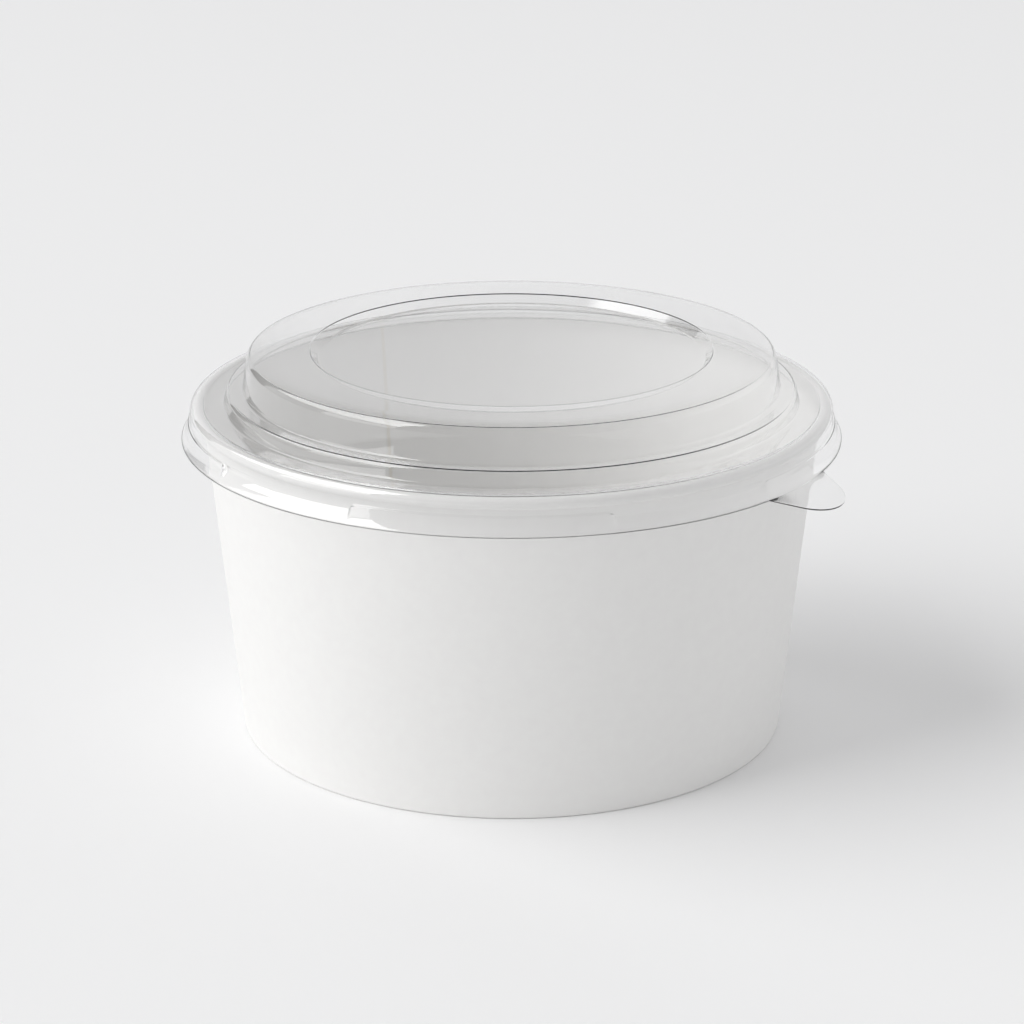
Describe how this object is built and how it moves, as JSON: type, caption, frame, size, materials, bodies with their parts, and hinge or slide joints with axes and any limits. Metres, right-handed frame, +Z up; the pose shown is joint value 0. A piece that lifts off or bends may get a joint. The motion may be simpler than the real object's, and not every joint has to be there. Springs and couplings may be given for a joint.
{
  "type": "takeaway soup container",
  "caption": "Round white paperboard soup bowl, empty, with a rolled rim and a raised clear lid that presses on and has a pull tab.",
  "frame": {"origin": "centre of the base, on the surface that the bowl stands on", "axes": "+Z up along the bowl's axis; the lid's pull tab points between -Y and +X, 56.4 degrees round from -Y"},
  "size_m": [0.156, 0.156, 0.0922],
  "materials": {
    "paperboard": "matte white board with a thin smooth coating",
    "paperboard_base": "matte white board with a thin smooth coating",
    "clear_film": "clear thermoformed PET sheet, glossy"
  },
  "bodies": {
    "root": {"side_wall": "paperboard", "base_disc": "paperboard_base", "lid": "clear_film"}
  },
  "joints": []
}
